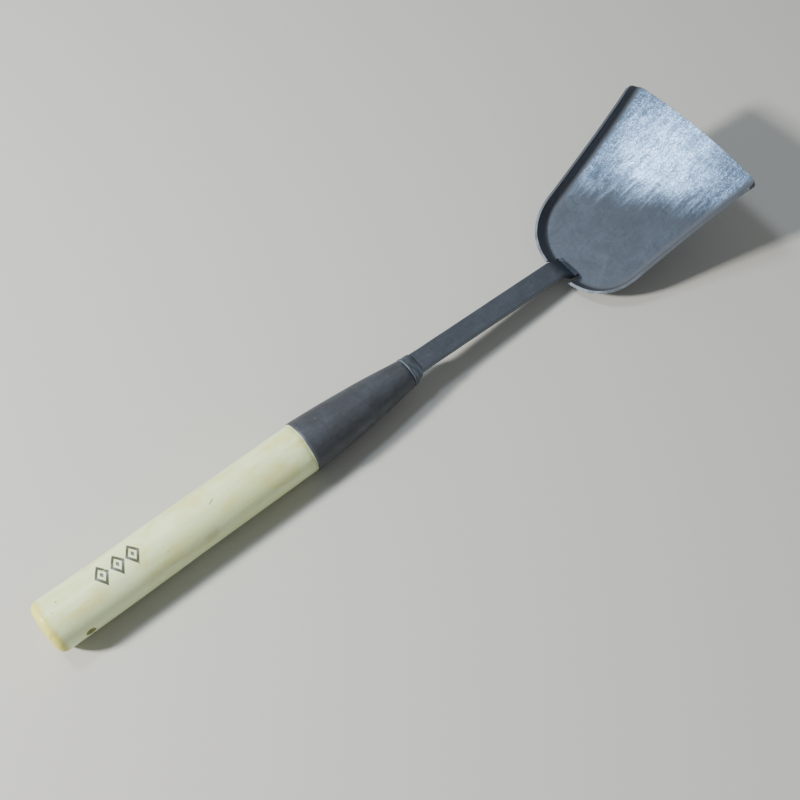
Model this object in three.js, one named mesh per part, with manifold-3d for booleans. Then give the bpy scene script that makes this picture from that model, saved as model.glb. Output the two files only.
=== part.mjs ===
// Wok spatula: a shovel-shaped head of forged sheet steel on a flat shank, held by a conical steel
// socket on a round wooden handle.
//
// Millimetres, +Z up. The length runs along X, from the butt of the handle (-X) to the front edge of
// the head (+X), and the spatula is symmetric about the XZ plane. It lies on Z = 0 on the rim of the
// socket and on the heel of the head, with the handle level. The origin is the bottom centre of its box.

import * as THREE from "three";
import { mergeVertices } from "three/addons/utils/BufferGeometryUtils.js";
import Module from "manifold-3d";

// ---------------------------------------------------------------- driving dimensions

const clearance = 0.3; // between two pieces that touch on the real spatula

// Handle: a turned wooden grip and the tenon that it drives into the socket.
const handleLength = 159.5; // butt face to socket mouth
const handleRadius = 15;
const gripTaper = 0.2; // the grip is this much thinner, in radius, at the socket
const buttRounding = 4.6;
const tenonLength = 44;
const hangHoleRadius = 3;
const hangHoleInset = 18; // from the butt face to the axis of the hole

// Socket: sheet rolled into a cone, its seam underneath.
const socketLength = 72;
const socketMouthRadius = 15.5;
const socketTipRadius = 9;
const socketBelly = 0.9; // the cone swells by this much, in radius, half way along
const socketWall = 1.2;
const seamWidth = 0.5;

// Collar: the hammered end ring that closes the tip of the socket round the shank.
const collarLength = 7;
const collarRadius = socketTipRadius + 0.3;
const collarTipWidth = 15;
const collarTipHeight = 7.5;

// Shank: a flat bar, straight behind the goose-neck and flared where it meets the head.
const shankWidth = 13;
const shankThickness = 3.2;
const shankEdgeRounding = 0.8;
const shankFall = 3.8; // degrees below level, towards the head
const shankRise = socketTipRadius - 4.8; // centre of the shank above the socket's axis, at the collar
const shankReach = 126; // tip of the socket to the foot of the head's rear wall, level
const neckRun = 12; // level length of the goose-neck
const neckAngle = 43; // degrees below level, on the steep part of the goose-neck
const flareWidth = 15; // shank width where it lies on the head
const flareRun = 12;
const toeLength = 2.4; // the part that lies on the floor of the head
const toeThickness = 1.2;
const tangWidth = 0.8 * socketTipRadius;
const tangLength = 9; // how far the tang runs into the socket

// Head: a flat floor with a wall turned up along both sides and round the rear, open at the front.
const headLength = 111.7; // rear rim to front corners, along the floor
const headFrontWidth = 97;
const headRearWidth = 73.5; // across the rims where the rear corners end
const headCorner = 28; // how far the rounded rear reaches along the floor
const frontBulge = 2.6; // the front edge curves out by this much in the middle
const frontCorner = 4.5;
const headTilt = 31; // degrees, floor of the head above level
const sheet = 1.8; // thickness of the head
const wallRear = 8.4; // height of the wall above the floor
const wallFront = 6.2;
const wallLean = 21; // degrees, outwards from square to the floor
const wallFoot = 2.6; // inner radius between floor and wall
const notchWidth = 20; // gap in the rear wall, for the shank

// Weld beads between the shank and the two ends of the wall.
const beadLength = 7.6;

// Facets.
const roundSides = 56;
const socketSteps = 12;
const wallSteps = 56;
const footSteps = 5;
const shankSteps = 60;

// ---------------------------------------------------------------- places that follow from them

const radians = THREE.MathUtils.degToRad;
const mouthX = handleLength;
const socketTipX = mouthX + socketLength;
const axisZ = socketMouthRadius;
const headFootX = socketTipX + shankReach;

const lean = radians(wallLean);
const footSweep = Math.PI / 2 - lean; // the foot's arc turns from the floor to the wall
const footRise = wallFoot * (1 - Math.cos(footSweep));
const tilt = radians(headTilt);

// ---------------------------------------------------------------- solids

const wasm = await Module();
wasm.setup();

/** A closed geometry as a manifold-3d solid. */
function solid(geometry) {
  const bare = geometry.clone();
  bare.deleteAttribute("normal");
  bare.deleteAttribute("uv");
  const merged = mergeVertices(bare, 1e-4);
  return new wasm.Manifold(
    new wasm.Mesh({
      numProp: 3,
      vertProperties: new Float32Array(merged.attributes.position.array),
      triVerts: new Uint32Array(merged.index.array),
    }),
  );
}

/** A manifold-3d solid as a three.js geometry. */
function geometryOf(body) {
  const mesh = body.getMesh();
  const geometry = new THREE.BufferGeometry();
  geometry.setAttribute("position", new THREE.BufferAttribute(mesh.vertProperties, 3));
  geometry.setIndex(new THREE.BufferAttribute(mesh.triVerts, 1));
  geometry.computeVertexNormals();
  return geometry;
}

function box(lengthX, widthY, heightZ, x, y, z) {
  return new THREE.BoxGeometry(lengthX, widthY, heightZ).translate(x, y, z);
}

/** A body turned about the X axis from [radius, x] points; the profile closes on itself or on the axis. */
function turned(profile) {
  const points = profile.map(([radius, x]) => new THREE.Vector2(radius, x));
  return new THREE.LatheGeometry(points, roundSides).rotateZ(-Math.PI / 2);
}

/** Moves every vertex of a geometry with place(x, y, z), which returns a Vector3. */
function reshaped(geometry, place) {
  const position = geometry.getAttribute("position");
  for (let i = 0; i < position.count; i++) {
    const moved = place(position.getX(i), position.getY(i), position.getZ(i));
    position.setXYZ(i, moved.x, moved.y, moved.z);
  }
  return geometry;
}

// ---------------------------------------------------------------- handle

/** Outer radius of the socket at x. */
function socketRadius(x) {
  const along = (x - mouthX) / socketLength;
  const belly = socketBelly * Math.sin(Math.PI * along);
  return THREE.MathUtils.lerp(socketMouthRadius, socketTipRadius, along) + belly;
}

/** Radius of the tenon at x, which clears the bore of the socket. */
function tenonRadius(x) {
  return socketRadius(x) - socketWall - clearance;
}

function handleGeometry() {
  const butt = [];
  for (let i = 0; i <= 6; i++) {
    const turn = (i / 6) * (Math.PI / 2);
    butt.push([
      handleRadius - buttRounding * (1 - Math.sin(turn)),
      buttRounding * (1 - Math.cos(turn)),
    ]);
  }
  const gripEnd = handleRadius - gripTaper;
  const shoulder = mouthX - clearance;
  const tenonEnd = mouthX + tenonLength;
  const profile = [
    [0, 0],
    ...butt,
    [gripEnd, shoulder - 0.8],
    [gripEnd - 0.6, shoulder],
    [tenonRadius(mouthX), shoulder],
    [tenonRadius(tenonEnd) - 0.2, tenonEnd - 1],
    [tenonRadius(tenonEnd) - 1, tenonEnd],
    [0, tenonEnd],
  ];
  const hole = new THREE.CylinderGeometry(hangHoleRadius, hangHoleRadius, handleRadius * 3, 32);
  hole.translate(hangHoleInset, 0, 0);
  return geometryOf(solid(turned(profile)).subtract(solid(hole))).translate(0, 0, axisZ);
}

// ---------------------------------------------------------------- socket and collar

function socketGeometry() {
  const outside = [];
  const inside = [];
  for (let i = 0; i <= socketSteps; i++) {
    const x = mouthX + (socketLength * i) / socketSteps;
    outside.push([socketRadius(x), x]);
    inside.unshift([socketRadius(x) - socketWall, x]);
  }
  const cone = turned([...outside, ...inside, outside[0]]);
  const seam = box(
    socketLength * 1.2,
    seamWidth,
    socketMouthRadius * 2,
    mouthX + socketLength / 2,
    0,
    -socketMouthRadius,
  );
  return geometryOf(solid(cone).subtract(solid(seam))).translate(0, 0, axisZ);
}

/** Height of the shank's centre at x, along its straight part. */
function shankZ(x) {
  return axisZ + shankRise - (x - socketTipX) * Math.tan(radians(shankFall));
}

/** A plug a little wider than the socket's tip, hammered down to the bar by two pairs of slanting faces. */
function collarGeometry() {
  const rear = socketTipX + clearance;
  const front = rear + collarLength;
  const plug = new THREE.CylinderGeometry(collarRadius, collarRadius, collarLength, roundSides)
    .rotateZ(Math.PI / 2)
    .translate((rear + front) / 2, 0, axisZ);

  const plan = new THREE.Shape([
    new THREE.Vector2(rear - 1, -collarRadius - 0.4),
    new THREE.Vector2(front + 1, -collarTipWidth / 2),
    new THREE.Vector2(front + 1, collarTipWidth / 2),
    new THREE.Vector2(rear - 1, collarRadius + 0.4),
  ]);
  const planWedge = new THREE.ExtrudeGeometry(plan, { depth: 60, bevelEnabled: false });

  const frontZ = shankZ(front);
  const side = new THREE.Shape([
    new THREE.Vector2(rear - 1, axisZ - collarRadius),
    new THREE.Vector2(front + 1, frontZ - collarTipHeight / 2),
    new THREE.Vector2(front + 1, frontZ + collarTipHeight / 2),
    new THREE.Vector2(rear - 1, axisZ + collarRadius),
  ]);
  const sideWedge = new THREE.ExtrudeGeometry(side, { depth: 60, bevelEnabled: false })
    .translate(0, 0, -30)
    .rotateX(Math.PI / 2);

  const slotHeight = shankThickness + 2 * clearance;
  const slot = new THREE.BoxGeometry(collarLength * 4, tangWidth + 2 * clearance, slotHeight)
    .rotateY(radians(shankFall))
    .translate((rear + front) / 2, 0, shankZ((rear + front) / 2));
  return geometryOf(
    solid(plug).intersect(solid(planWedge)).intersect(solid(sideWedge)).subtract(solid(slot)),
  );
}

// ---------------------------------------------------------------- head

/** Half of the rim seen square to the floor, from the middle of the rear to past the front edge. */
function rimHalf() {
  const path = new THREE.Path();
  const halfRear = headRearWidth / 2;
  const halfFront = headFrontWidth / 2;
  const taper = (halfFront - halfRear) / (headLength - headCorner);
  path.moveTo(0, 0);
  path.bezierCurveTo(
    0,
    halfRear * 0.64,
    headCorner * 0.4,
    halfRear - headCorner * 0.6 * taper,
    headCorner,
    halfRear,
  );
  path.quadraticCurveTo(
    (headCorner + headLength) / 2,
    (halfRear + halfFront) / 2 - 1.5,
    headLength,
    halfFront,
  );
  path.lineTo(headLength + 8, halfFront + 8 * taper);
  return path;
}

/** Rim point and outward direction at t, from 0 (front, right) round the rear to 1 (front, left). */
function rimAt(path, t) {
  const side = t < 0.5 ? -1 : 1;
  const along = Math.abs(2 * t - 1);
  const point = path.getPointAt(along);
  const tangent = along > 0 ? path.getTangentAt(along) : new THREE.Vector2(0, 1);
  return {
    point: new THREE.Vector2(point.x, side * point.y),
    outward: new THREE.Vector2(-tangent.y, side * tangent.x),
  };
}

function wallHeight(u) {
  return THREE.MathUtils.lerp(wallRear, wallFront, u / headLength);
}

/** How far inside the rim the floor begins, for a wall of this height. */
function footInset(height) {
  const straight = (height - footRise) / Math.cos(lean);
  return wallFoot * Math.sin(footSweep) + straight * Math.sin(lean);
}

/** A point of the wall's section: across and up from the rim's foot, at k from floor (0) to rim (1). */
function wallSection(height, k, outer) {
  const radius = wallFoot + (outer ? sheet : 0);
  const inset = footInset(height);
  const overlap = 1;
  if (k === 0) return new THREE.Vector2(-inset - overlap, outer ? -sheet : 0);
  const footShare = footSteps / (footSteps + 2);
  if (k <= footShare + 1e-6) {
    const turn = ((k * (footSteps + 2) - 1) / (footSteps - 1)) * footSweep;
    return new THREE.Vector2(
      -inset + radius * Math.sin(turn),
      wallFoot - radius * Math.cos(turn),
    );
  }
  const reach = k < 1 ? 0.5 : 1;
  const straight = ((height - footRise) / Math.cos(lean)) * reach;
  return new THREE.Vector2(
    -inset + radius * Math.sin(footSweep) + straight * Math.sin(lean),
    wallFoot - radius * Math.cos(footSweep) + straight * Math.cos(lean),
  );
}

function wallSolid(path) {
  const inner = [];
  const outer = [];
  const stations = footSteps + 2;
  for (let i = 0; i <= stations; i++) {
    inner.push(new THREE.Vector2(i / stations, 1));
    outer.unshift(new THREE.Vector2(i / stations, 0));
  }
  const strip = new THREE.ExtrudeGeometry(new THREE.Shape([...inner, ...outer]), {
    depth: 1,
    steps: wallSteps,
    bevelEnabled: false,
  });
  return solid(
    reshaped(strip, (k, face, t) => {
      const { point, outward } = rimAt(path, t);
      const section = wallSection(wallHeight(point.x), Math.round(k * stations) / stations, face < 0.5);
      return new THREE.Vector3(
        point.x + outward.x * section.x,
        point.y + outward.y * section.x,
        section.y,
      );
    }),
  );
}

function floorSolid(path) {
  const outline = [];
  for (let i = 0; i <= wallSteps; i++) {
    const { point, outward } = rimAt(path, i / wallSteps);
    const inset = footInset(wallHeight(point.x)) + 0.4;
    outline.push(new THREE.Vector2(point.x - outward.x * inset, point.y - outward.y * inset));
  }
  const plate = new THREE.ExtrudeGeometry(new THREE.Shape(outline), {
    depth: sheet,
    bevelEnabled: false,
  });
  return solid(plate.translate(0, 0, -sheet));
}

/** Everything behind the curved front edge, with the two front corners rounded. */
function frontTrim() {
  const wide = headFrontWidth;
  const halfFront = headFrontWidth / 2;
  const trim = new THREE.Shape();
  trim.moveTo(-headLength, -wide);
  trim.lineTo(headLength - 2 * frontCorner, -wide);
  trim.lineTo(headLength - frontCorner, -halfFront);
  trim.quadraticCurveTo(headLength, -halfFront, headLength, -halfFront + frontCorner);
  trim.quadraticCurveTo(headLength + 2 * frontBulge, 0, headLength, halfFront - frontCorner);
  trim.quadraticCurveTo(headLength, halfFront, headLength - frontCorner, halfFront);
  trim.lineTo(headLength - 2 * frontCorner, wide);
  trim.lineTo(-headLength, wide);
  const deep = 80;
  return new THREE.ExtrudeGeometry(trim, { depth: deep, curveSegments: 16, bevelEnabled: false })
    .translate(0, 0, -deep / 2);
}

/** The head lying flat: floor on z = 0, the foot of its rear wall at the origin, front edge on +X. */
function headGeometry() {
  const path = rimHalf();
  const foot = footInset(wallRear);
  const notch = box(4 * foot, notchWidth, 80, -foot, 0, 0);
  return geometryOf(
    wallSolid(path).add(floorSolid(path)).intersect(solid(frontTrim())).subtract(solid(notch)),
  ).translate(-foot, 0, 0);
}

/** Height of the floor's rear edge, so that the rounded heel at the ends of the notch meets Z = 0. */
function headFootZ() {
  const path = rimHalf();
  let ahead = 0;
  for (let t = 0.5; rimAt(path, t).point.y < notchWidth / 2; t += 0.001) ahead = rimAt(path, t).point.x;
  return wallFoot + sheet - wallFoot * Math.cos(tilt) - ahead * Math.sin(tilt);
}

const footZ = headFootZ();

// ---------------------------------------------------------------- shank

/** Centre line of the shank in the XZ plane, from the collar to the end of the toe. */
function shankLine() {
  const along = new THREE.Vector2(Math.cos(tilt), Math.sin(tilt));
  const square = new THREE.Vector2(-along.y, along.x);
  const toeLift = clearance + toeThickness / 2;
  const foot = new THREE.Vector2(headFootX, footZ);
  const toeEnd = foot.clone().addScaledVector(along, toeLength).addScaledVector(square, toeLift);
  const heel = foot.clone().addScaledVector(along, -1).addScaledVector(square, toeLift + 0.5);

  // The steep part runs back and up from the heel until it meets the straight part.
  const fall = Math.tan(radians(shankFall));
  const steep = Math.tan(radians(neckAngle));
  const run = (shankZ(heel.x) - heel.y) / (steep - fall);
  const bend = new THREE.Vector2(heel.x - run, heel.y + run * steep);
  const start = new THREE.Vector2(socketTipX + collarLength + 2 * clearance, 0);
  start.y = shankZ(start.x);

  const ease = Math.min(neckRun, run) / 2;
  const beforeBend = bend.clone().lerp(start, ease / bend.distanceTo(start));
  const afterBend = bend.clone().lerp(heel, 0.45);
  const beforeHeel = heel.clone().lerp(bend, 0.4);
  const afterHeel = heel.clone().lerp(toeEnd, 0.35);

  const line = new THREE.Path();
  line.moveTo(start.x, start.y);
  line.lineTo(beforeBend.x, beforeBend.y);
  line.quadraticCurveTo(bend.x, bend.y, afterBend.x, afterBend.y);
  line.lineTo(beforeHeel.x, beforeHeel.y);
  line.quadraticCurveTo(heel.x, heel.y, afterHeel.x, afterHeel.y);
  line.lineTo(toeEnd.x, toeEnd.y);
  return line;
}

/** A rectangle with rounded corners, centred on the origin. */
function roundedRectangle(width, height, radius) {
  const x = width / 2 - radius;
  const y = height / 2 - radius;
  const shape = new THREE.Shape();
  shape.absarc(x, y, radius, 0, Math.PI / 2);
  shape.absarc(-x, y, radius, Math.PI / 2, Math.PI);
  shape.absarc(-x, -y, radius, Math.PI, Math.PI * 1.5);
  shape.absarc(x, -y, radius, Math.PI * 1.5, Math.PI * 2);
  return shape;
}

function shankGeometry() {
  const line = shankLine();
  const total = line.getLength();
  const section = roundedRectangle(shankWidth, shankThickness, shankEdgeRounding);
  const bar = new THREE.ExtrudeGeometry(section, {
    depth: 1,
    steps: shankSteps,
    curveSegments: 3,
    bevelEnabled: false,
  });
  reshaped(bar, (across, up, t) => {
    // Equal shares of the path, closer together from the goose-neck on.
    const share = t < 0.25 ? t * 3 : 0.75 + (t - 0.25) / 3;
    const point = line.getPointAt(share);
    const tangent = line.getTangentAt(share);
    const left = total * (1 - share);
    const flare = THREE.MathUtils.smoothstep(flareRun + toeLength - left, 0, flareRun);
    const thin = THREE.MathUtils.smoothstep(toeLength * 2.4 - left, 0, toeLength * 1.6);
    const wide = THREE.MathUtils.lerp(1, flareWidth / shankWidth, flare);
    const thick = THREE.MathUtils.lerp(1, toeThickness / shankThickness, thin);
    return new THREE.Vector3(
      point.x - tangent.y * up * thick,
      across * wide,
      point.y + tangent.x * up * thick,
    );
  });

  const tangStart = socketTipX - tangLength;
  const tangEnd = socketTipX + collarLength + 2;
  const tangSpan = (tangEnd - tangStart) / Math.cos(radians(shankFall));
  const tangMiddle = (tangStart + tangEnd) / 2;
  const tang = new THREE.BoxGeometry(tangSpan, tangWidth, shankThickness - 0.02)
    .rotateY(radians(shankFall))
    .translate(tangMiddle, 0, shankZ(tangMiddle));
  return geometryOf(solid(bar).add(solid(tang)));
}

// ---------------------------------------------------------------- weld beads

/** In the head's frame: the bead fills the gap beside the shank, up the middle of the sloping wall. */
function beadGeometry(side) {
  const gap = (notchWidth - flareWidth) / 2;
  const radius = gap / 2 - clearance;
  const across = flareWidth / 2 + gap / 2;
  const foot = footInset(wallRear);
  const slope = Math.atan2(foot, wallRear);
  const back = (foot + sheet * Math.cos(slope)) / 2;
  const up = (wallRear - sheet * Math.sin(slope)) / 2;
  return new THREE.CapsuleGeometry(radius, beadLength - 2 * radius, 5, 14, 3)
    .rotateX(Math.PI / 2)
    .rotateY(-slope)
    .translate(-back, side * across, up);
}

// ---------------------------------------------------------------- assembly

function piece(name, geometry, color, roughness, metalness) {
  const mesh = new THREE.Mesh(
    geometry,
    new THREE.MeshStandardMaterial({ color, roughness, metalness }),
  );
  mesh.name = name;
  return mesh;
}

const head = new THREE.Group();
head.position.set(headFootX, 0, footZ);
head.rotation.y = -tilt;
head.add(piece("head", headGeometry(), 0x6b7680, 0.38, 0.9));
head.add(piece("weld_left", beadGeometry(1), 0xb4bcc4, 0.35, 0.95));
head.add(piece("weld_right", beadGeometry(-1), 0xb4bcc4, 0.35, 0.95));

const spatula = new THREE.Group();
spatula.name = "wok_spatula";
spatula.add(piece("handle", handleGeometry(), 0xd8dcc6, 0.45, 0));
spatula.add(piece("socket", socketGeometry(), 0x4a4f57, 0.5, 0.85));
spatula.add(piece("socket_collar", collarGeometry(), 0x5c6670, 0.45, 0.9));
spatula.add(piece("shank", shankGeometry(), 0x4d555e, 0.5, 0.85));
spatula.add(head);

// Centre the box of the whole spatula over the origin.
spatula.updateMatrixWorld(true);
const bounds = new THREE.Box3().setFromObject(spatula, true);
spatula.position.set(-(bounds.min.x + bounds.max.x) / 2, 0, -bounds.min.z);

export default spatula;
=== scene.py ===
import math
import bmesh
import bpy
from mathutils import Matrix, Vector, geometry, noise


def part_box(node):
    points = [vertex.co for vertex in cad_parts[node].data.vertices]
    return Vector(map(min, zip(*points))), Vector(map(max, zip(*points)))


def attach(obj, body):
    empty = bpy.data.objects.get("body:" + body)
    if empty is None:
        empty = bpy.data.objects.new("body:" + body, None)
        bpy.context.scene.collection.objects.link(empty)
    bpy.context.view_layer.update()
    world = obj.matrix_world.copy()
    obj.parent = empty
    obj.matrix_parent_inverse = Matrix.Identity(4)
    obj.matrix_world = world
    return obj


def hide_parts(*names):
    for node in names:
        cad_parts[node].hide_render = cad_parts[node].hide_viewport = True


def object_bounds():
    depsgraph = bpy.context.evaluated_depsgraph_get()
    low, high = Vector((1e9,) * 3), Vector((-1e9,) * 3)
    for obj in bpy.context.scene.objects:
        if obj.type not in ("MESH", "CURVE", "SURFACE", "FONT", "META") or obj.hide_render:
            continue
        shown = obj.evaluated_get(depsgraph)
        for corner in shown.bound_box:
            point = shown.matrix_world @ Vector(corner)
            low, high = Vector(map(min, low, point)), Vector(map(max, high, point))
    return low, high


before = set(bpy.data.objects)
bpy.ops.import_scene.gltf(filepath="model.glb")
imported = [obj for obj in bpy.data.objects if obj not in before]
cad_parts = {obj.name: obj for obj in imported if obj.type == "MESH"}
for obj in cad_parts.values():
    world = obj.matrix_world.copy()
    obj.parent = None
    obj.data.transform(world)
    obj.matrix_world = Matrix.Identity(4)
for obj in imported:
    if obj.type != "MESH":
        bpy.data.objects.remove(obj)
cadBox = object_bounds()
print("frame loaded")

# helpers for shapes


def ease(low, high, value):
    share = min(max((value - low) / (high - low), 0.0), 1.0)
    return share * share * (3 - 2 * share)


def mix(first, second, share):
    return first + (second - first) * share


def bake(piece):
    # the modifiers' result becomes the piece's own mesh
    graph = bpy.context.evaluated_depsgraph_get()
    finished = bpy.data.meshes.new_from_object(piece.evaluated_get(graph))
    finished.name = piece.name
    piece.modifiers.clear()
    piece.data = finished


def addPiece(name, bm):
    mesh = bpy.data.meshes.new(name)
    bm.to_mesh(mesh)
    bm.free()
    piece = bpy.data.objects.new(name, mesh)
    bpy.context.scene.collection.objects.link(piece)
    return piece


def finishPiece(piece, material, nodes, sharpAngle):
    piece.data.shade_smooth()
    piece.data.set_sharp_from_angle(angle=math.radians(sharpAngle))
    piece.data.materials.clear()
    piece.data.materials.append(material)
    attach(piece, "root")
    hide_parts(*nodes)
    print(piece.name, len(piece.data.polygons), "faces")


def spinProfile(points, axisHeight, steps):
    # points are (x, radius); the outline is spun about the line z = axisHeight
    bm = bmesh.new()
    corners = [bm.verts.new((x, 0, axisHeight + radius)) for x, radius in points]
    for first, second in zip(corners, corners[1:]):
        bm.edges.new((first, second))
    bmesh.ops.spin(bm, geom=bm.verts[:] + bm.edges[:], cent=(0, 0, axisHeight), axis=(1, 0, 0),
                   dvec=(0, 0, 0), angle=2 * math.pi, steps=steps, use_merge=True,
                   use_normal_flip=False, use_duplicate=False)
    bmesh.ops.remove_doubles(bm, verts=bm.verts[:], dist=1e-6)
    bmesh.ops.recalc_face_normals(bm, faces=bm.faces[:])
    return bm


def cutAway(piece, cutter):
    modifier = piece.modifiers.new("cut", "BOOLEAN")
    modifier.operation = "DIFFERENCE"
    modifier.solver = "EXACT"
    modifier.object = cutter
    bake(piece)
    bpy.data.objects.remove(cutter)


def bevelEdges(piece, width, segments):
    # only the edges that turn sharply
    modifier = piece.modifiers.new("edges", "BEVEL")
    modifier.limit_method = "ANGLE"
    modifier.angle_limit = math.radians(50)
    modifier.width = width
    modifier.segments = segments


def refine(piece):
    modifier = piece.modifiers.new("fine", "SUBSURF")
    modifier.levels = 1
    modifier.render_levels = 1


def curved(start, bend, end, count):
    # count points of a curve from start to end that is pulled towards bend
    return geometry.interpolate_bezier(start, start.lerp(bend, 2 / 3), end.lerp(bend, 2 / 3), end, count)


def wobble(bm, amount, scale, axisHeight, seed):
    # hand-made unevenness, square to the X axis through axisHeight
    for vert in bm.verts:
        outward = Vector((0, vert.co.y, vert.co.z - axisHeight))
        if outward.length > 1e-5:
            lump = noise.noise(Vector((vert.co.x * scale[0] + seed, vert.co.y * scale[1],
                                       vert.co.z * scale[1])))
            vert.co += outward.normalized() * amount * (lump - 0.5)


# helpers for materials


class Wire:
    # one socket of a material; sums on it add Math nodes

    def __init__(self, shader, socket):
        self.shader = shader
        self.socket = socket

    def math(self, operation, first, second=0.0):
        return self.shader.node("ShaderNodeMath", {"operation": operation}, {0: first, 1: second})

    def __add__(self, other):
        return self.math("ADD", self, other)

    def __radd__(self, other):
        return self.math("ADD", other, self)

    def __sub__(self, other):
        return self.math("SUBTRACT", self, other)

    def __rsub__(self, other):
        return self.math("SUBTRACT", other, self)

    def __mul__(self, other):
        return self.math("MULTIPLY", self, other)

    def __truediv__(self, other):
        return self.math("DIVIDE", self, other)

    def __pow__(self, other):
        return self.math("POWER", self, other)

    def __abs__(self):
        return self.math("ABSOLUTE", self)

    def larger(self, other):
        return self.math("MAXIMUM", self, other)

    def step(self, low, high, fromValue=0.0, toValue=1.0):
        # smooth change from fromValue at low to toValue at high
        return self.shader.node("ShaderNodeMapRange", {"interpolation_type": "SMOOTHSTEP"}, {
            "Value": self, "From Min": low, "From Max": high, "To Min": fromValue, "To Max": toValue})


class Shader:

    def __init__(self, name):
        self.material = bpy.data.materials.new(name)
        self.material.use_nodes = True
        self.tree = self.material.node_tree
        self.tree.nodes.clear()
        self.place = self.node("ShaderNodeTexCoord", {}, {}, "Object")

    def node(self, kind, settings, values, output=0):
        node = self.tree.nodes.new(kind)
        for name, value in settings.items():
            setattr(node, name, value)
        for name, value in values.items():
            if isinstance(value, Wire):
                self.tree.links.new(value.socket, node.inputs[name])
            else:
                node.inputs[name].default_value = value
        return Wire(self, node.outputs[output]) if len(node.outputs) else None

    def stretched(self, scale, turn=0.0):
        # the object's coordinates, turned about Y first and then stretched
        turned = self.node("ShaderNodeMapping", {"vector_type": "POINT"},
                           {"Vector": self.place, "Rotation": (0, turn, 0)})
        return self.node("ShaderNodeMapping", {"vector_type": "POINT"},
                         {"Vector": turned, "Scale": scale})

    def grain(self, scale, detail=4.0, roughness=0.55, distortion=0.0, turn=0.0):
        return self.node("ShaderNodeTexNoise", {}, {
            "Vector": self.stretched(scale, turn), "Scale": 1.0, "Detail": detail,
            "Roughness": roughness, "Distortion": distortion})

    def cells(self, scale):
        return self.node("ShaderNodeTexVoronoi", {"feature": "F1"}, {
            "Vector": self.stretched(scale), "Scale": 1.0})

    def attribute(self, name):
        return self.node("ShaderNodeAttribute", {"attribute_name": name}, {}, "Fac")

    def axes(self):
        split = self.node("ShaderNodeSeparateXYZ", {}, {"Vector": self.place})
        parts = split.socket.node.outputs
        return Wire(self, parts[0]), Wire(self, parts[1]), Wire(self, parts[2])

    def blend(self, share, first, second):
        return self.node("ShaderNodeMix", {"data_type": "RGBA"}, {0: share, 6: first, 7: second}, 2)

    def awayFrom(self, point):
        return self.node("ShaderNodeVectorMath", {"operation": "DISTANCE"},
                         {0: self.place, 1: point}, "Value")

    def finish(self, values, height, distance, strength=1.0):
        surface = self.node("ShaderNodeBsdfPrincipled", {}, values)
        normal = self.node("ShaderNodeBump", {}, {
            "Strength": strength, "Distance": distance, "Height": height})
        self.tree.links.new(normal.socket, surface.socket.node.inputs["Normal"])
        self.node("ShaderNodeOutputMaterial", {}, {"Surface": surface})
        return self.material


def rgb(red, green, blue):
    # from the 0-255 values of a colour picker to a linear colour
    linear = [((c / 255 + 0.055) / 1.055) ** 2.4 if c > 10 else c / 255 / 12.92
              for c in (red, green, blue)]
    return (*linear, 1.0)


# handle: a turned grip with a rounded butt, a cross hole to hang it by and a hidden tenon

handle = {
    "butt": 0.0046,  # rounding of the butt
    "buttSteps": 10,
    "shoulder": 0.0006,  # rounding beside the socket
    "gap": 0.0003,  # between the shoulder and the socket
    "thinner": 0.0002,  # the grip's taper, in radius
    "gripSteps": 80,
    "unevenness": 0.00016,
    "holeRadius": 0.0027,
    "holeInset": 0.018,
    "holeLip": 0.0002,
    "steps": 128,
    "tenonRadius": 0.0138,
    "tenonTip": 0.0098,
    "lightWood": rgb(223, 238, 184),
    "darkWood": rgb(206, 216, 148),
    "agedWood": rgb(203, 196, 84),
    "cloudyWood": rgb(212, 206, 122),
    "buttDirt": rgb(176, 150, 78),
    "endGrain": rgb(170, 150, 92),
    "ink": rgb(30, 28, 34),
    "markCentres": (-0.1885, -0.1793, -0.1706),
    "markSize": (0.0043, 0.0066),
    "markSide": 0.0004,
    # traces of use; the last number of a place is its height above the handle's axis
    "stain": rgb(176, 160, 104),
    "stainAt": (-0.1320, -0.0128, 0.0072),
    "scratch": rgb(88, 80, 62),
    "scratchAt": (-0.1241, -0.0013, 0.0149),
    "scratchSlope": 0.4,
    "speck": rgb(120, 100, 62),
    "specks": (((-0.2133, 0.0030, 0.0147), 0.0007), ((-0.2176, -0.0007, 0.0150), 0.0006),
               ((-0.0890, 0.0062, 0.0137), 0.0005), ((-0.1560, -0.0090, 0.0120), 0.0004)),
    "grime": rgb(140, 130, 96),
    "grimeRun": 0.0075,
    "holeDirt": rgb(150, 134, 84),
    "holeDirtRadius": 0.0036,
    "holeShade": rgb(84, 72, 48),
}


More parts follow.
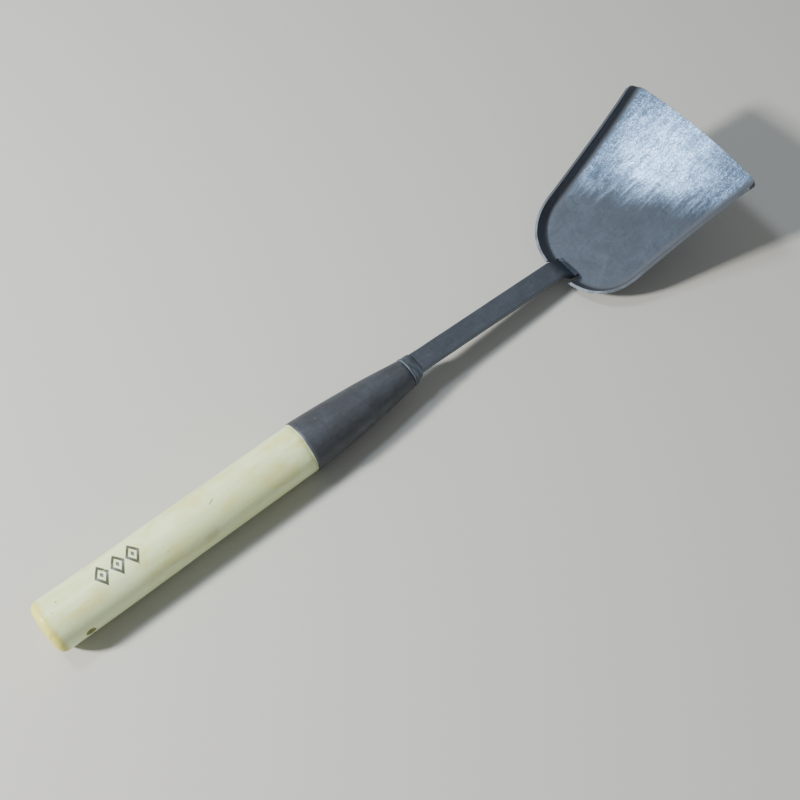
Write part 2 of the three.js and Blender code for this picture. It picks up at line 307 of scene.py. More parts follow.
def makeHandleWood():
    wood = Shader("handleWood")
    x, y, z = wood.axes()
    low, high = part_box("handle")
    middle = (low.z + high.z) / 2
    butt = low.x

    def near(place, inner, outer):
        # 1 within inner of the place, fading to 0 at outer
        return wood.awayFrom((place[0], place[1], middle + place[2])).step(inner, outer, 1.0, 0.0)

    fibres = wood.grain((60, 700, 700), detail=5, roughness=0.62, distortion=0.4)
    bands = wood.grain((16, 90, 90), detail=3, roughness=0.5, distortion=0.9)
    clouds = wood.grain((52, 85, 85), detail=4, roughness=0.6, distortion=0.5)
    figure = (fibres * 0.3 + bands * 0.7).step(0.42, 0.66)
    colour = wood.blend(figure * 0.6, handle["lightWood"], handle["darkWood"])
    colour = wood.blend(clouds.step(0.46, 0.7) * 0.6, colour, handle["cloudyWood"])
    # the butt and its rounded edge are bare and have yellowed
    aged = (x + clouds * 0.0030).step(butt + 0.0046, butt + 0.0084, 1.0, 0.0)
    colour = wood.blend(aged * 0.85, colour, handle["agedWood"])
    colour = wood.blend(aged * clouds.step(0.48, 0.62) * 0.5, colour, handle["buttDirt"])
    # end grain on the flat of the butt
    fromAxis = ((y * y) + (z - middle + 0.004) * (z - middle + 0.004)) ** 0.5
    rings = wood.node("ShaderNodeMath", {"operation": "SINE"},
                      {0: (fromAxis + bands * 0.002) * 4200})
    endFace = x.step(butt + 0.0001, butt + 0.0012, 1.0, 0.0)
    colour = wood.blend(endFace * rings.step(-0.2, 1.0) * 0.35, colour, handle["endGrain"])
    # a faint stain, a thin scratch and a few specks from use
    stain = near(handle["stainAt"], 0.001, 0.0085)
    colour = wood.blend(stain * clouds.step(0.35, 0.6) * 0.5, colour, handle["stain"])
    scratchX, scratchY = handle["scratchAt"][:2]
    fromScratch = abs(y - scratchY - (x - scratchX) * handle["scratchSlope"])
    scratch = fromScratch.step(0.00008, 0.0004, 1.0, 0.0) * near(handle["scratchAt"], 0.0012, 0.0022)
    colour = wood.blend(scratch * 0.8, colour, handle["scratch"])
    for place, size in handle["specks"]:
        colour = wood.blend(near(place, size * 0.5, size) * 0.7, colour, handle["speck"])
    # three plain diamonds in ink
    ink = None
    markLength, markWidth = handle["markSize"]
    for centre in handle["markCentres"]:
        spread = abs(x - centre) / markLength + abs(y - handle["markSide"]) / markWidth
        inked = spread.step(0.52, 0.60) + spread.step(0.22, 0.30, 1.0, 0.0)
        band = spread.step(0.94, 1.0, 1.0, 0.0) * inked
        ink = band if ink is None else ink.larger(band)
    ink = ink * z.step(middle + 0.002, middle + 0.004) * fibres.step(0.24, 0.42)
    colour = wood.blend(ink * 0.92, colour, handle["ink"])
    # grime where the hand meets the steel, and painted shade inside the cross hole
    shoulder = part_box("socket")[0].x
    grime = x.step(shoulder - handle["grimeRun"], shoulder) * bands.step(0.35, 0.65)
    colour = wood.blend(grime * 0.35, colour, handle["grime"])
    across = x - (butt + handle["holeInset"])
    fromHole = (across * across + (z - middle) * (z - middle)) ** 0.5
    nearHole = fromHole.step(handle["holeRadius"], handle["holeDirtRadius"], 1.0, 0.0)
    inHole = fromHole.step(0.00262, handle["holeRadius"], 1.0, 0.0)
    colour = wood.blend(nearHole * 0.4, colour, handle["holeDirt"])
    # painted shade inside the cross hole
    colour = wood.blend(inHole * 0.9, colour, handle["holeShade"])
    roughness = 0.42 + fibres * 0.12 + aged * 0.18 - ink * 0.05
    height = fibres * 0.5 + bands * 0.3 + clouds * 0.35 - scratch * 0.8
    return wood.finish({"Base Color": colour, "Roughness": roughness, "IOR": 1.47,
                        "Coat Weight": 0.22, "Coat Roughness": 0.24}, height, 0.00016)


def makeHandle():
    low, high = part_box("handle")
    axis = (low.z + high.z) / 2
    radius = (high.z - low.z) / 2
    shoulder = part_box("socket")[0].x - handle["gap"]
    points = [(low.x, 0.0), (low.x, radius * 0.3), (low.x, radius * 0.6)]
    for i in range(handle["buttSteps"] + 1):
        turn = math.radians(i * 90 / handle["buttSteps"])
        points.append((low.x + handle["butt"] * (1 - math.cos(turn)),
                       radius - handle["butt"] * (1 - math.sin(turn))))
    start = points[-1][0]
    gripEnd = shoulder - handle["shoulder"]
    for i in range(1, handle["gripSteps"] + 1):
        share = i / handle["gripSteps"]
        points.append((mix(start, gripEnd, share), radius - handle["thinner"] * share))
    end = radius - handle["thinner"]
    points += [(shoulder - 0.0002, end - 0.00018), (shoulder, end - handle["shoulder"]),
               (shoulder, handle["tenonRadius"] + 0.0012), (high.x - 0.001, handle["tenonTip"]),
               (high.x, handle["tenonTip"] - 0.001), (high.x, 0.0)]
    bm = spinProfile(points, axis, handle["steps"])
    wobble(bm, handle["unevenness"], (22, 55), axis, 3.0)
    piece = addPiece("wooden_grip", bm)
    # the cross hole, with a small rounded lip at both mouths
    hole = bmesh.new()
    bmesh.ops.create_cone(hole, cap_ends=True, segments=48, radius1=handle["holeRadius"],
                          radius2=handle["holeRadius"], depth=radius * 2.6,
                          matrix=Matrix.Translation((low.x + handle["holeInset"], 0, axis))
                          @ Matrix.Rotation(math.radians(90), 4, "X"))
    cutAway(piece, addPiece("hole_cutter", hole))
    bevelEdges(piece, handle["holeLip"], 3)
    bake(piece)
    finishPiece(piece, makeHandleWood(), ["handle"], 45)


makeHandle()

# steel of every piece but the head

forge = {
    "streaky": 0.35,  # share of the brushing in the colour, the rest is blotches
    "ash": rgb(120, 118, 116),
    "soot": rgb(34, 35, 38),
    "bare": rgb(188, 198, 208),
}


def makeSteel(name, dark, light, streaks, worn, roughness, turn=0.0, tone=forge["bare"],
              relief=0.00012, metal=0.6, toned=()):
    # forge scale with lighter rubbed patches; streaks stretches the brushing along the piece and
    # toned names vertex attributes that bring in another colour
    steel = Shader(name)
    brushed = steel.grain(streaks, detail=6, roughness=0.68, turn=turn)
    scale = steel.grain((420, 420, 420), detail=5, roughness=0.65, turn=turn)
    blotches = steel.grain((60, 75, 75), detail=5, roughness=0.62, distortion=0.6, turn=turn)
    pits = steel.cells((900, 900, 900)).step(0.05, 0.32, 1.0, 0.0)
    wear = steel.attribute("wear")
    streaky = forge["streaky"]
    share = brushed.step(0.34, 0.7) * streaky + blotches.step(0.36, 0.68) * (1 - streaky)
    colour = steel.blend(share, dark, light)
    colour = steel.blend(scale.step(0.56, 0.8) * 0.3, colour, forge["ash"])
    colour = steel.blend(scale.step(0.44, 0.24) * 0.35, colour, forge["soot"])
    for attribute, most, other in toned:
        colour = steel.blend(steel.attribute(attribute) * most, colour, other)
    rubbed = (wear * (0.3 + brushed * 0.9 + scale * 0.5)).step(0.35, 0.85)
    colour = steel.blend(rubbed * worn, colour, tone)
    gloss = roughness + scale * 0.18 - share * 0.08 - rubbed * 0.1
    shine = metal + rubbed * (1 - metal)
    height = brushed * 0.4 + scale * 0.7 - pits * 0.15 + blotches * 0.5
    return steel.finish({"Base Color": colour, "Metallic": shine, "Roughness": gloss}, height, relief)


# socket: a rolled cone of dark sheet with its seam underneath

socket = {
    "wall": 0.0012,
    "rounding": 0.00035,
    "steps": 128,
    "outerStations": 40,
    "innerStations": 20,
    "dents": 0.00018,
    "seam": 0.0005,
    "tipRadius": 0.0090,
    "belly": 0.0009,  # the sides swell this much halfway along
    "mouthWear": 0.0009,  # worn band round the mouth, in radius
    "dark": rgb(61, 64, 69),
    "light": rgb(78, 82, 89),
}


def makeSocket():
    low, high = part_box("socket")
    axis = (low.z + high.z) / 2
    mouth = (high.y - low.y) / 2
    tip, wall, r = socket["tipRadius"], socket["wall"], socket["rounding"]

    def side(start, end, stations):
        # the swelling line between two (x, radius) corners, without the corners
        found = []
        for i in range(1, stations):
            swell = socket["belly"] * math.sin(math.pi * i / stations)
            share = i / stations
            found.append((mix(start[0], end[0], share), mix(start[1], end[1], share) + swell))
        return found

    points = [(low.x + r, mouth - wall), (low.x, mouth - wall + r), (low.x, mouth - r),
              (low.x + r, mouth)]
    points += side((low.x + r, mouth), (high.x - r, tip), socket["outerStations"])
    points += [(high.x - r, tip), (high.x, tip - r), (high.x, tip - wall)]
    points += side((high.x, tip - wall), (low.x + r, mouth - wall), socket["innerStations"])
    points.append(points[0])
    bm = spinProfile(points, axis, socket["steps"])
    wear = bm.verts.layers.float.new("wear")
    for vert in bm.verts:
        across = math.hypot(vert.co.y, vert.co.z - axis)
        atRim = across > mouth - socket["mouthWear"]
        atMouth = ease(0.0006, 0.0001, vert.co.x - low.x) if atRim else 0.0
        onTop = ease(0.010, 0.002, abs(vert.co.y)) if vert.co.z > axis else 0.0
        vert[wear] = max(atMouth * mix(0.1, 0.8, onTop), 0.5 * ease(0.003, 0.0, high.x - vert.co.x))
    wobble(bm, socket["dents"], (40, 60), axis, 11.0)
    piece = addPiece("socket_cone", bm)
    slit = bmesh.new()
    bmesh.ops.create_cube(slit, size=1, matrix=Matrix.Translation(((low.x + high.x) / 2, 0, low.z))
                          @ Matrix.Diagonal(((high.x - low.x) * 1.2, socket["seam"], mouth, 1)))
    cutAway(piece, addPiece("slit_cutter", slit))
    steel = makeSteel("socketSteel", socket["dark"], socket["light"], (60, 420, 420), worn=0.5,
                      roughness=0.48, metal=0.35, relief=0.00008)
    finishPiece(piece, steel, ["socket"], 50)


makeSocket()

# shank: a flat bar with a goose-neck down to the head; the collar needs its measures, so they
# stand here, and the bar itself is made after the head

shank = {
    "width": 0.0130,
    "thickness": 0.0032,
    "edge": 0.0008,
    "rise": 0.0042,
    "fall": 3.8,  # degrees
    "neckRun": 0.012,
    "neckAngle": 43,
    "flareWidth": 0.0150,
    "flareRun": 0.012,
    "toeLength": 0.0024,
    "toeThickness": 0.0008,
    "toeEnd": 0.35,  # share of that left at the very end
    "toeGap": 0.0003,  # between the toe and the floor of the head
    "heelBack": 0.001,
    "heelLift": 0.0005,
    "tangWidth": 0.0072,
    "stations": 150,
    "straightStations": 0.72,  # share of the stations that the straight part gets
    "straightLength": 0.86,  # its share of the length
    "samples": 1200,
    "unevenness": 0.00022,
    "dark": rgb(62, 67, 75),
    "light": rgb(76, 83, 93),
    "toe": rgb(58, 68, 81),
}


def barHeight(x):
    # centre of the shank's straight part
    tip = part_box("socket")[1].x
    axis = (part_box("socket")[0].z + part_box("socket")[1].z) / 2
    return axis + shank["rise"] - (x - tip) * math.tan(math.radians(shank["fall"]))


# collar: the end ring that was hammered and brazed round the bar

collar = {
    "radius": 0.0093,
    "width": 0.0150,
    "height": 0.0050,
    "rings": 28,
    "segments": 96,
    "lumps": 0.0003,
    "boxy": 0.6,  # power that squares the outline beside the bar; 1 is round
    "grooves": (0.08, 0.36, 0.9),  # ground lines, as shares of the length
    "dark": rgb(68, 74, 82),
    "light": rgb(92, 101, 112),
    "rubbed": rgb(150, 162, 176),
}


def makeCollar():
    low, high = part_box("socket_collar")
    axis = (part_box("socket")[0].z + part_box("socket")[1].z) / 2
    length = high.x - low.x
    bm = bmesh.new()
    lying = Matrix.Translation((0.5, 0, 0)) @ Matrix.Rotation(math.radians(90), 4, "Y")
    bmesh.ops.create_cone(bm, cap_ends=True, segments=collar["segments"], radius1=1, radius2=1,
                          depth=1, matrix=lying)
    for i in range(1, collar["rings"]):
        bmesh.ops.bisect_plane(bm, geom=bm.verts[:] + bm.edges[:] + bm.faces[:], dist=1e-7,
                               plane_co=(i / collar["rings"], 0, 0), plane_no=(1, 0, 0))
    caps = [face for face in bm.faces if len(face.verts) > 4]
    bmesh.ops.inset_region(bm, faces=caps, thickness=0.25)
    wear = bm.verts.layers.float.new("wear")
    front = barHeight(high.x)
    for vert in bm.verts:
        share, across, up = vert.co
        share = min(max(share, 0.0), 1.0)
        inward = min(math.hypot(across, up), 1.0)
        turn = math.atan2(up, across)
        x = low.x + share * length
        # a circle at the socket, squarer and flatter towards the bar
        square = 0.7 * share + 0.3 * ease(0.0, 1.0, share)
        power = mix(1, collar["boxy"], square)
        wide = math.copysign(abs(math.cos(turn)) ** power, math.cos(turn))
        tall = math.copysign(abs(math.sin(turn)) ** power, math.sin(turn))
        halfWidth = mix(collar["radius"], collar["width"] / 2, square)
        halfHeight = mix(collar["radius"], collar["height"] / 2, square)
        edge = 1 - 0.04 * ease(0.1, 0.0, share) - 0.06 * ease(0.86, 1.0, share)
        lump = noise.noise(Vector((x * 420, math.cos(turn) * 2.1 + 4, math.sin(turn) * 2.1)))
        grow = 1 + (lump - 0.35) * collar["lumps"] / collar["radius"] * 1.6
        centre = mix(axis, front, square)
        vert.co = (x, wide * halfWidth * edge * grow * inward,
                   centre + tall * halfHeight * edge * grow * inward)
        vert[wear] = 0.1 + 0.5 * max(ease(0.05, 0.01, abs(share - line)) for line in collar["grooves"])
    bmesh.ops.recalc_face_normals(bm, faces=bm.faces[:])
    piece = addPiece("brazed_collar", bm)
    refine(piece)
    bake(piece)
    steel = makeSteel("collarSteel", collar["dark"], collar["light"], (700, 60, 60), worn=0.5,
                      roughness=0.56, relief=0.00014, metal=0.35, tone=collar["rubbed"])
    finishPiece(piece, steel, ["socket_collar"], 60)


makeCollar()

# head: forged sheet, its wall turned up along both sides and round the rear

head = {
    "tilt": 31,  # degrees
    "length": 0.1117,
    "frontWidth": 0.097,
    "rearWidth": 0.0735,
    "corner": 0.028,
    "frontBulge": 0.0026,
    "frontCorner": 0.0050,
    "thickness": 0.0018,
    "wallRear": 0.0084,
    "wallFront": 0.0062,
    "wallLean": 21,  # degrees, outwards
    "wallFoot": 0.0026,
    "notch": 0.0200,
    "rows": 120,
    "wallColumns": 9,
    "floorColumns": 56,
    "sideBow": 0.0015,  # the sides are this much hollow
    "edgeRounding": 0.00035,
    "hammering": 0.00016,
    "dark": rgb(42, 51, 63),
    "light": rgb(53, 64, 78),
    "speckled": rgb(58, 62, 70),
    # painted highlight colour of the burnished front
    "burnishedAndHighlight": rgb(176, 212, 254),
    "wallShadeLift": rgb(80, 84, 92),
    "dullRim": rgb(46, 50, 57),
    "rubbed": rgb(176, 190, 204),
    "highlightSpot": (0.2075, 0.005, 0.0475),  # middle of the painted highlight on the part that scrapes the pan
    "foot": Vector((0, 0, 0)),  # rear edge of the floor, found when the head is placed
}


def rimLine():
    # half of the rim from the middle of the rear to the front, square to the floor
    rear, front = head["rearWidth"] / 2, head["frontWidth"] / 2
    corner, length = head["corner"], head["length"]
    taper = (front - rear) / (length - corner)
    start, end = Vector((corner, rear, 0)), Vector((length, front, 0))
    beforeStart = (corner * 0.4, rear - corner * 0.6 * taper, 0)
    line = geometry.interpolate_bezier((0, 0, 0), (0, rear * 0.64, 0), beforeStart, start, 200)
    bend = Vector(((corner + length) / 2, (rear + front) / 2 - head["sideBow"], 0))
    line += curved(start, bend, end, 300)[1:]
    return line


def evenly(line, count):
    # count points at equal distances along a line of points, each with its direction
    lengths = [0.0]
    for first, second in zip(line, line[1:]):
        lengths.append(lengths[-1] + (second - first).length)
    found = []
    at = 0
    for i in range(count):
        wanted = lengths[-1] * i / (count - 1)
        while at < len(lengths) - 2 and lengths[at + 1] < wanted:
            at += 1
        share = (wanted - lengths[at]) / (lengths[at + 1] - lengths[at])
        found.append((line[at].lerp(line[at + 1], share), (line[at + 1] - line[at]).normalized()))
    return found


def wallPoint(height, share):
    # (outwards from the rim, up from the floor) at share from the rim (0) to the floor (1)
    lean = math.radians(head["wallLean"])
    foot = head["wallFoot"]
    sweep = math.pi / 2 - lean
    straight = (height - foot * (1 - math.cos(sweep))) / math.cos(lean)
    inset = foot * math.sin(sweep) + straight * math.sin(lean)
    if share < 0.5:
        left = straight * (1 - share * 2)
        return (-inset + foot * math.sin(sweep) + left * math.sin(lean),
                foot * (1 - math.cos(sweep)) + left * math.cos(lean))
    turn = sweep * (2 - share * 2)
    return -inset + foot * math.sin(turn), foot * (1 - math.cos(turn))


def makeHeadSteel():
    turn = math.radians(head["tilt"])
    steel = Shader("headSteel")
    y = steel.axes()[1]
    along = steel.attribute("along")  # 0 at the rear to 1 at the front edge
    wall = steel.attribute("wall")
    rim = steel.attribute("wear")
    streaks = steel.grain((70, 480, 480), detail=7, roughness=0.72, distortion=0.3, turn=turn)
    flecks = steel.grain((620, 1000, 1000), detail=5, roughness=0.7, turn=turn)
    blows = steel.grain((90, 130, 130), detail=3, roughness=0.5, distortion=0.8, turn=turn)
    blotches = steel.grain((40, 52, 52), detail=4, roughness=0.6, distortion=0.6, turn=turn)
    scale = steel.grain((320, 320, 320), detail=5, roughness=0.65, turn=turn)
    # burnished at the front, where it scrapes the pan, sooner on the left side; the bright patch and its
    # slanting edge are also a painted reflection of the lamps
    edge = along + y * 4.6 + (blotches - 0.5) * 0.14 + (streaks - 0.5) * 0.2
    burnishAndReflection = edge.step(0.47, 0.68) * (1 - wall)
    # painted highlight: 1 at the highlight spot, fading out by 44 mm
    centre = steel.awayFrom(head["highlightSpot"]).step(0.004, 0.044, 1.0, 0.0)
    fleck = (flecks * 0.6 + streaks * 0.5 + blows * 0.3).step(0.58, 0.84)
    share = streaks.step(0.34, 0.7) * 0.35 + blotches.step(0.36, 0.64) * 0.65
    colour = steel.blend(share, head["dark"], head["light"])
    colour = steel.blend(scale.step(0.44, 0.26) * 0.3, colour, head["speckled"])
    # painted highlight: the pale blue-white colour is strongest round the highlight spot and in the flecks
    polishAndHighlight = burnishAndReflection * (0.1 + centre * 0.32 + fleck * (0.24 + centre * 0.5))
    colour = steel.blend(polishAndHighlight, colour, head["burnishedAndHighlight"])
    # painted light: the walls take a lighter tone of their own, which lifts their shaded band
    colour = steel.blend(wall * 0.9, colour, head["wallShadeLift"])
    # the rim is dull but at the front, and rubbed bright in patches at the rear corners; along the right
    # side it gets a faint painted highlight
    dull = rim * along.step(0.975, 0.94)
    colour = steel.blend(dull * 0.7, colour, head["dullRim"])
    corner = along.step(0.36, 0.06)
    # painted highlight along the right rim
    rightRimHighlight = y.step(0.0, -0.02)
    patches = blotches.step(0.42, 0.6)
    rubbed = (rim * (0.2 + streaks * 0.7 + scale * 0.5)).step(0.4, 0.9)
    rubbed = rubbed * (0.04 + corner * patches * 0.3 + rightRimHighlight * 0.05)
    colour = steel.blend(rubbed, colour, head["rubbed"])
    shine = 0.4 + burnishAndReflection * 0.6 - wall * 0.25 + rubbed * 0.4
    gloss = 0.52 + scale * 0.12 - burnishAndReflection * (0.06 + centre * 0.14 + fleck * 0.12) + wall * 0.1
    gloss = gloss + dull * 0.26 * (1 - corner * patches * 0.8)
    height = streaks * 0.4 + flecks * 0.9 * (0.3 + burnishAndReflection) + blows * 1.3 + scale * 0.3
    return steel.finish({"Base Color": colour, "Metallic": shine, "Roughness": gloss}, height, 0.00028)


def makeHead():
    rows, wallColumns, floorColumns = head["rows"], head["wallColumns"], head["floorColumns"]
    columns = 2 * wallColumns + floorColumns
    length = head["length"]
    halfFront, corner = head["frontWidth"] / 2, head["frontCorner"]
    half = [spot for spot in rimLine() if spot.y > head["notch"] / 2]
    rims = evenly(half, rows + 1)
    bm = bmesh.new()
    bmesh.ops.create_grid(bm, x_segments=rows, y_segments=columns, size=1)
    wear = bm.verts.layers.float.new("wear")
    wall = bm.verts.layers.float.new("wall")
    along = bm.verts.layers.float.new("along")
    for vert in bm.verts:
        row = round((vert.co.x + 1) / 2 * rows)
        column = round((vert.co.y + 1) / 2 * columns)
        side = -1 if column < columns / 2 else 1
        fromRim = min(column, columns - column)
        rim, direction = rims[row]
        outward = Vector((-direction.y, direction.x, 0))
        height = mix(head["wallRear"], head["wallFront"], rim.x / length)
        out, up = wallPoint(height, min(fromRim / wallColumns, 1.0))
        spot = rim + outward * out
        y = side * spot.y
        if fromRim > wallColumns:
            y = mix(-spot.y, spot.y, (column - wallColumns) / floorColumns)
        forward = spot.x / length
        # the front edge curves out, and its two corners are rounded
        x = spot.x + head["frontBulge"] * ease(0.55, 1.0, forward) * (1 - (y / halfFront) ** 2)
        nearSide = max(corner - (halfFront - abs(y)), 0.0)
        roundedOff = corner - math.sqrt(max(corner ** 2 - nearSide ** 2, 0.0))
        vert.co = (x - roundedOff * ease(0.88, 1.0, forward), y, up)
        share = fromRim / wallColumns
        vert[wear] = ease(0.14, 0.0, share) + 0.6 * ease(0.985, 1.0, forward)
        vert[wall] = ease(1.12, 0.72, share)
        vert[along] = forward
    bmesh.ops.recalc_face_normals(bm, faces=bm.faces[:])
    bm.faces.ensure_lookup_table()
    if bm.faces[len(bm.faces) // 2].normal.z < 0:
        bmesh.ops.reverse_faces(bm, faces=bm.faces[:])
    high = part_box("head")[1]
    turned = Matrix.Rotation(-math.radians(head["tilt"]), 4, "Y")
    bmesh.ops.transform(bm, matrix=turned, verts=bm.verts[:])
    shift = Vector((high.x - max(v.co.x for v in bm.verts), 0, high.z - max(v.co.z for v in bm.verts)))
    bmesh.ops.translate(bm, vec=shift, verts=bm.verts[:])
    head["foot"] = shift + turned @ Vector((-wallPoint(head["wallRear"], 1.0)[0], 0, 0))
    piece = addPiece("forged_head", bm)
    sheet = piece.modifiers.new("sheet", "SOLIDIFY")
    sheet.thickness = head["thickness"]
    sheet.offset = -1
    sheet.use_even_offset = True
    bevelEdges(piece, head["edgeRounding"], 2)
    refine(piece)
    bake(piece)
    # hammer marks in the forged sheet, the same on both faces
    for vert in piece.data.vertices:
        spot = turned.inverted() @ vert.co
        blow = noise.noise(Vector((spot.x * 95, spot.y * 120, 2.0)))
        soft = noise.noise(Vector((spot.x * 34, spot.y * 38, 7.0)))
        vert.co += turned @ Vector((0, 0, head["hammering"] * (blow * 0.6 + soft)))
    finishPiece(piece, makeHeadSteel(), ["head"], 55)


makeHead()

# shank, from the measures that stand before the collar


def shankLine():
    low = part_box("shank")[0]
    tilt = math.radians(head["tilt"])
    along = Vector((math.cos(tilt), 0, math.sin(tilt)))
    square = Vector((-along.z, 0, along.x))
    lift = shank["toeGap"] + shank["toeThickness"] / 2
    foot = head["foot"]
    toeEnd = foot + along * shank["toeLength"] + square * lift
    heel = foot - along * shank["heelBack"] + square * (lift + shank["heelLift"])
    fall = math.tan(math.radians(shank["fall"]))
    steep = math.tan(math.radians(shank["neckAngle"]))
    run = (barHeight(heel.x) - heel.z) / (steep - fall)
    bend = Vector((heel.x - run, 0, heel.z + run * steep))
    start = Vector((low.x, 0, barHeight(low.x)))
    halfRun = min(shank["neckRun"], run) / 2
    beforeBend = bend.lerp(start, halfRun / (bend - start).length)
    afterBend = bend.lerp(heel, 0.45)
    beforeHeel = heel.lerp(bend, 0.4)
    afterHeel = heel.lerp(toeEnd, 0.35)
    line = [start.lerp(beforeBend, i / 200) for i in range(200)]
    for first, corner, last in ((beforeBend, bend, afterBend), (beforeHeel, heel, afterHeel)):
        line += curved(first, corner, last, 40)
    line.append(toeEnd)
    return line


def makeShank():
    collarLow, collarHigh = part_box("socket_collar")
    width, thickness = shank["width"], shank["thickness"]
    bm = bmesh.new()
    bmesh.ops.create_cube(bm, size=1, matrix=Matrix.Translation((0.5, 0, 0))
                          @ Matrix.Diagonal((1, width, thickness, 1)))
    lengthwise = [edge for edge in bm.edges if abs(edge.verts[0].co.x - edge.verts[1].co.x) > 0.5]
    bmesh.ops.bevel(bm, geom=lengthwise, offset=shank["edge"], offset_type="OFFSET", segments=4,
                    profile=0.5, affect="EDGES", material=-1)
    stations = shank["stations"]
    cuts = [(Vector((i / stations, 0, 0)), Vector((1, 0, 0))) for i in range(1, stations)]
    cuts += [(Vector((0, width * i / 10, 0)), Vector((0, 1, 0))) for i in range(-4, 5)]
    for spot, square in cuts:
        bmesh.ops.bisect_plane(bm, geom=bm.verts[:] + bm.edges[:] + bm.faces[:], dist=1e-7,
                               plane_co=spot, plane_no=square)
    line = shankLine()
    samples = shank["samples"]
    places = evenly(line, samples + 1)
    straight, reach = shank["straightStations"], shank["straightLength"]
    total = sum((second - first).length for first, second in zip(line, line[1:]))
    wear = bm.verts.layers.float.new("wear")
    toe = bm.verts.layers.float.new("toe")
    for vert in bm.verts:
        share, across, up = vert.co
        # stations lie closer together from the goose-neck on
        if share < straight:
            share = share / straight * reach
        else:
            share = mix(reach, 1, (share - straight) / (1 - straight))
        spot, direction = places[round(min(max(share, 0), 1) * samples)]
        left = total * (1 - share)
        flare = ease(shank["flareRun"] + shank["toeLength"], shank["toeLength"], left)
        thin = ease(shank["toeLength"] * 2.4, shank["toeLength"] * 0.8, left)
        wide = mix(1, shank["flareWidth"] / width, flare)
        if spot.x < (collarLow.x + collarHigh.x) / 2:
            wide = shank["tangWidth"] / width
        thick = mix(1, shank["toeThickness"] / thickness, thin)
        thick *= mix(1, shank["toeEnd"], ease(0.0012, 0.0, left))
        edge = ease(0.0016, 0.0004, width / 2 - abs(across))
        dent = noise.noise(Vector((spot.x * 60, across * 120, 5.0))) * shank["unevenness"]
        side = noise.noise(Vector((spot.x * 45, 3.0, 9.0))) * shank["unevenness"]
        rise = up * thick + dent * (1 if up > 0 else -0.4)
        vert.co = (spot.x - direction.z * rise, across * wide + math.copysign(side, across) * edge,
                   spot.z + direction.x * rise)
        steep = ease(0.35, 0.62, -direction.z)
        vert[toe] = ease(shank["toeLength"] * 1.5, shank["toeLength"] * 1.1, left)
        vert[wear] = edge * (1.0 if up > 0 else 0.0) * (1 - steep) * (1 - vert[toe])
    bmesh.ops.recalc_face_normals(bm, faces=bm.faces[:])
    piece = addPiece("flat_shank", bm)
    steel = makeSteel("shankSteel", shank["dark"], shank["light"], (30, 420, 420),
                      turn=-math.radians(shank["fall"]), worn=0.2, roughness=0.48, metal=0.4,
                      toned=(("toe", 0.9, shank["toe"]),))
    finishPiece(piece, steel, ["shank"], 50)


makeShank()

# welds: two small beads that tie the wall's ends to the shank

weld = {
    "lumps": 0.22,
    "ripples": 0.05,
    "swell": 1.02,
    "blunt": 0.8,  # power that flattens the ends; 1 is a ball's
    "short": 0.0004,
    "dark": rgb(150, 158, 168),
    "light": rgb(206, 214, 222),
}


def makeWeld(name, node, seed, steel):
    low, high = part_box(node)
    across = (high.y - low.y) / 2
    run = Vector((low.x - high.x, 0, high.z - low.z))
    bm = bmesh.new()
    bmesh.ops.create_icosphere(bm, subdivisions=5, radius=1)
    slope = math.atan2(high.x - low.x, high.z - low.z)
    wear = bm.verts.layers.float.new("wear")
    for vert in bm.verts:
        ripple = math.sin(vert.co.z * 9 + noise.noise(vert.co * 1.5 + Vector((seed, 0, 0))) * 2.5)
        lump = 1 + weld["lumps"] * noise.noise(vert.co * 2.1 + Vector((seed, 3, 1)))
        lump += weld["ripples"] * ripple
        vert[wear] = 0.6 + 0.4 * ripple
        tall = math.copysign(abs(vert.co.z) ** weld["blunt"], vert.co.z)
        vert.co = Vector((vert.co.x * lump * across * weld["swell"],
                          vert.co.y * lump * across * weld["swell"],
                          tall * (run.length / 2 - weld["short"])))
    lean = Matrix.Rotation(-slope, 4, "Y")
    bmesh.ops.transform(bm, matrix=Matrix.Translation((low + high) / 2) @ lean, verts=bm.verts[:])
    piece = addPiece(name, bm)
    finishPiece(piece, steel, [node], 60)


def makeWelds():
    steel = makeSteel("weldSteel", weld["dark"], weld["light"], (400, 400, 400), worn=0.9,
                      roughness=0.32, relief=0.00025)
    makeWeld("weld_bead_left", "weld_left", 1.0, steel)
    makeWeld("weld_bead_right", "weld_right", 6.0, steel)


makeWelds()

# floor, light and camera

studio = {
    "floorSize": 6.0,
    "floorColour": rgb(183, 182, 176),
    "floorFibre": rgb(172, 171, 166),
    "world": 0.34,
    "worldColour": (0.93, 0.97, 1.0, 1.0),
    "keyFrom": (-1.296, 0.496, 1.0),
    "keyDistance": 1.5,
    "keySize": 0.16,
    "keyPower": 46.0,
    "keyColour": (1.0, 0.98, 0.94),
    "panelAt": (-0.237, 0.396, 1.03),
    "panelFacing": (0.2, 0.0, 0.04),
    "panelSize": (0.17, 0.17),
    "panelPower": 5.2,
    "panelColour": (0.78, 0.89, 1.0),
}


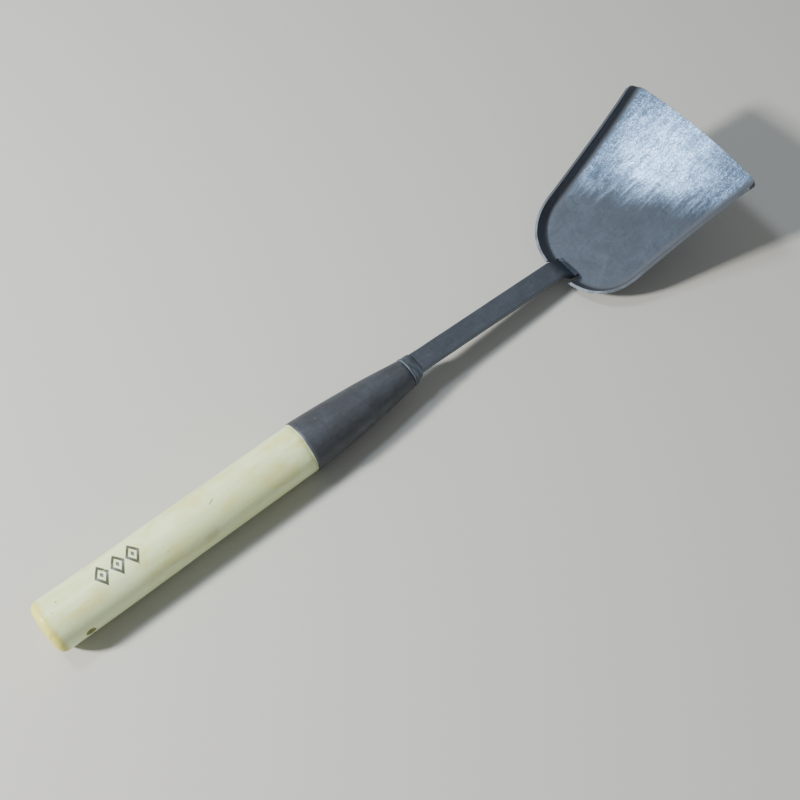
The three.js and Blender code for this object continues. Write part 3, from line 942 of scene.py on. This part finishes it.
def makeFloor():
    bm = bmesh.new()
    bmesh.ops.create_grid(bm, x_segments=8, y_segments=8, size=studio["floorSize"] / 2)
    bmesh.ops.translate(bm, vec=(0, 0, cadBox[0].z - 0.0001), verts=bm.verts[:])
    piece = addPiece("studio_floor", bm)
    paper = Shader("floorPaper")
    fibre = paper.grain((180, 180, 180), detail=3)
    colour = paper.blend(fibre * 0.08, studio["floorColour"], studio["floorFibre"])
    piece.data.materials.append(paper.finish({"Base Color": colour, "Roughness": 0.85}, fibre, 0.0001, 0.3))


def addLight(name, spot, facing, size, power, colour):
    lamp = bpy.data.lights.new(name, "AREA")
    lamp.shape = "RECTANGLE"
    lamp.size, lamp.size_y = size
    lamp.energy = power
    lamp.color = colour
    holder = bpy.data.objects.new(name, lamp)
    holder.location = spot
    holder.rotation_euler = (Vector(facing) - Vector(spot)).to_track_quat("-Z", "Y").to_euler()
    bpy.context.scene.collection.objects.link(holder)


def makeLight():
    world = bpy.data.worlds.new("studio")
    world.use_nodes = True
    background = world.node_tree.nodes["Background"]
    background.inputs["Color"].default_value = studio["worldColour"]
    background.inputs["Strength"].default_value = studio["world"]
    bpy.context.scene.world = world
    key = Vector(studio["keyFrom"]).normalized() * studio["keyDistance"]
    addLight("keyLight", key, (0, 0, 0), (studio["keySize"], studio["keySize"]), studio["keyPower"],
             studio["keyColour"])
    addLight("softPanel", studio["panelAt"], studio["panelFacing"], studio["panelSize"],
             studio["panelPower"], studio["panelColour"])


view = {
    "azimuth": -39.1,
    "elevation": 62.3,
    "distance": 0.5973,
    "target": (-0.0071, -0.0105, 0.015),
    "lens": 48.6,
    "sensor": 36,
    "nearest": 0.01,
}


def makeCamera():
    camera = bpy.data.cameras.new("camera")
    camera.lens = view["lens"]
    camera.sensor_width = view["sensor"]
    camera.clip_start = view["nearest"]
    holder = bpy.data.objects.new("camera", camera)
    turn, rise = math.radians(view["azimuth"]), math.radians(view["elevation"])
    back = Vector((math.sin(turn) * math.cos(rise), -math.cos(turn) * math.cos(rise), math.sin(rise)))
    holder.location = Vector(view["target"]) + back * view["distance"]
    holder.rotation_euler = (-back).to_track_quat("-Z", "Y").to_euler()
    bpy.context.scene.collection.objects.link(holder)
    bpy.context.scene.camera = holder


makeFloor()
makeLight()
makeCamera()
print("studio ready")
